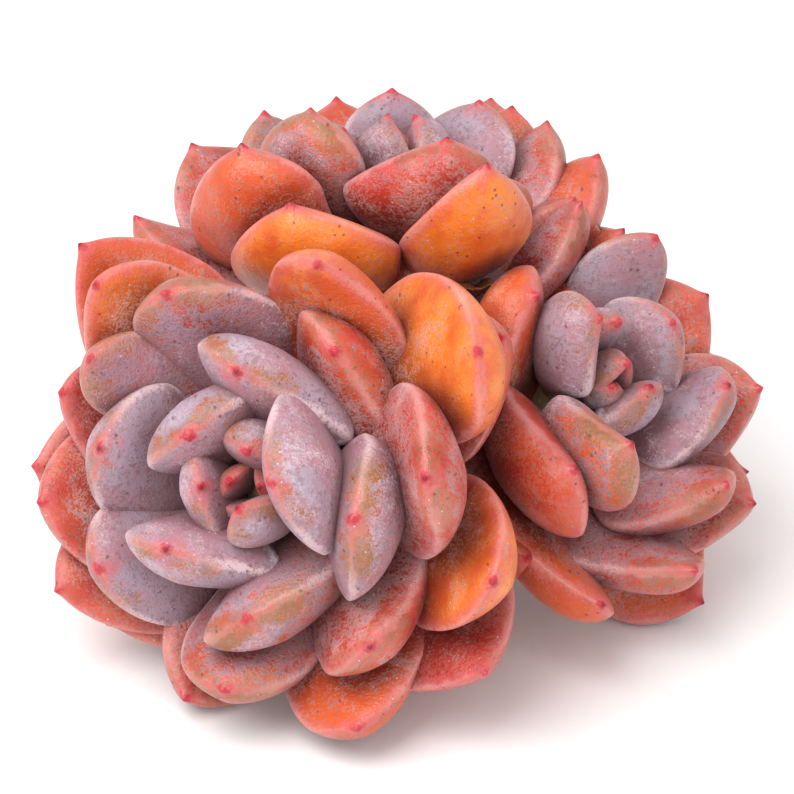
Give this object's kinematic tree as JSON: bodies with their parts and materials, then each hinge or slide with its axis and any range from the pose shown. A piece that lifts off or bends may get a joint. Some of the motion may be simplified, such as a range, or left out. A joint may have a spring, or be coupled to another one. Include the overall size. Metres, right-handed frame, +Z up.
{
  "type": "echeveria rosette clump",
  "caption": "Clump of three fleshy succulent rosettes on one short branched stem, picked with no pot, lying on its lowest leaves and the flat cut of its stem.",
  "frame": {"origin": "middle of the stem's flat cut, on the surface that the clump lies on", "axes": "+Z up from the surface; -Y towards the front rosette; +X towards the right-hand rosette"},
  "size_m": [0.1428, 0.1483, 0.0927],
  "materials": {
    "inner_leaves": "waxy lavender-grey bloom over living leaf",
    "outer_leaves": "orange to coral living leaf with patches of bloom",
    "stem": "dry tan bark with leaf scars",
    "withered_leaf": "brown and papery"
  },
  "bodies": {
    "root": {"stem": "stem", "front_inner_leaves": "inner_leaves", "front_outer_leaves": "outer_leaves", "right_inner_leaves": "inner_leaves", "right_outer_leaves": "outer_leaves", "rear_inner_leaves": "inner_leaves", "rear_outer_leaves": "outer_leaves", "withered_leaf": "withered_leaf"}
  },
  "joints": []
}
